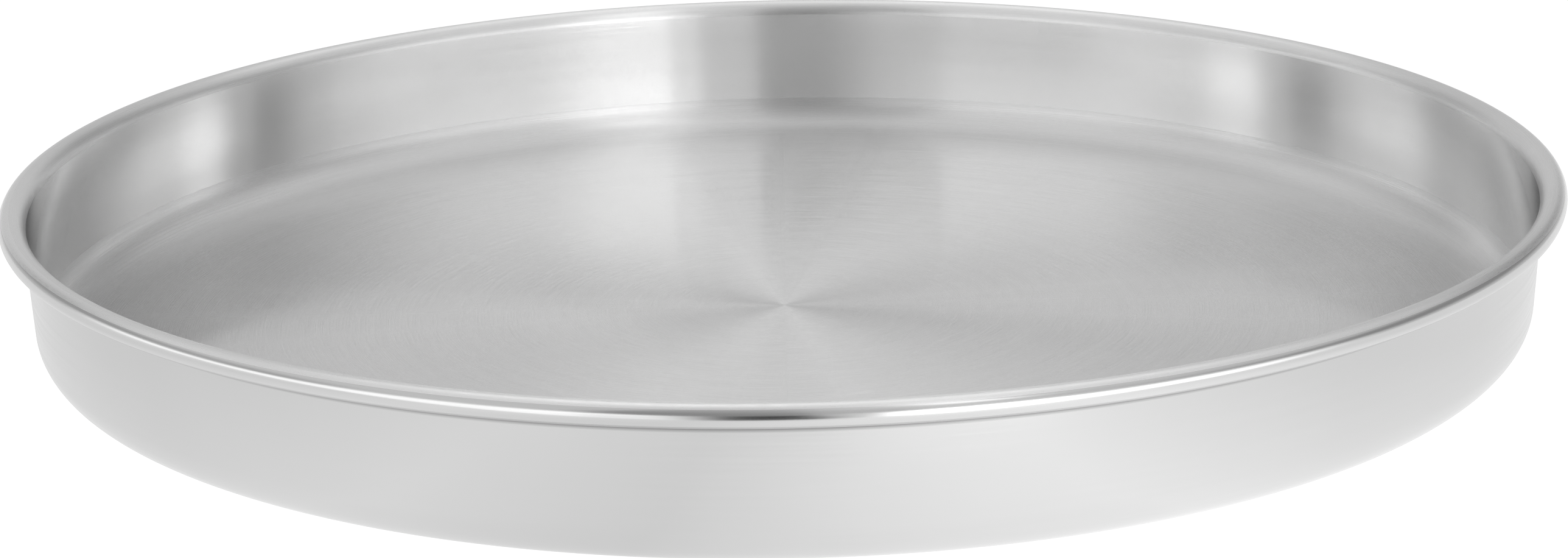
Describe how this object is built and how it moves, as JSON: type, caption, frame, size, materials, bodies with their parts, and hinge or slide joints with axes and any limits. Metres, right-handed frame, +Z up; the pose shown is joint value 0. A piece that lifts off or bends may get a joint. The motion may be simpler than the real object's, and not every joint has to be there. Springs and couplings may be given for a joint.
{
  "type": "pizza pan",
  "caption": "Round, low-walled stainless steel pizza pan with a rounded corner, a slightly flared wall and a rim rolled outwards over a stiffening wire.",
  "frame": {"origin": "centre of the floor's underside, on the surface that the pan stands on", "axes": "+Z up along the pan's axis, away from the surface that it stands on"},
  "size_m": [0.36, 0.36, 0.0357],
  "materials": {
    "pan_steel": "circular satin brushing inside and over the rim, polished outside",
    "wire_steel": "plain drawn wire"
  },
  "bodies": {
    "root": {"pan_body": "pan_steel", "rim_wire": "wire_steel"}
  },
  "joints": []
}
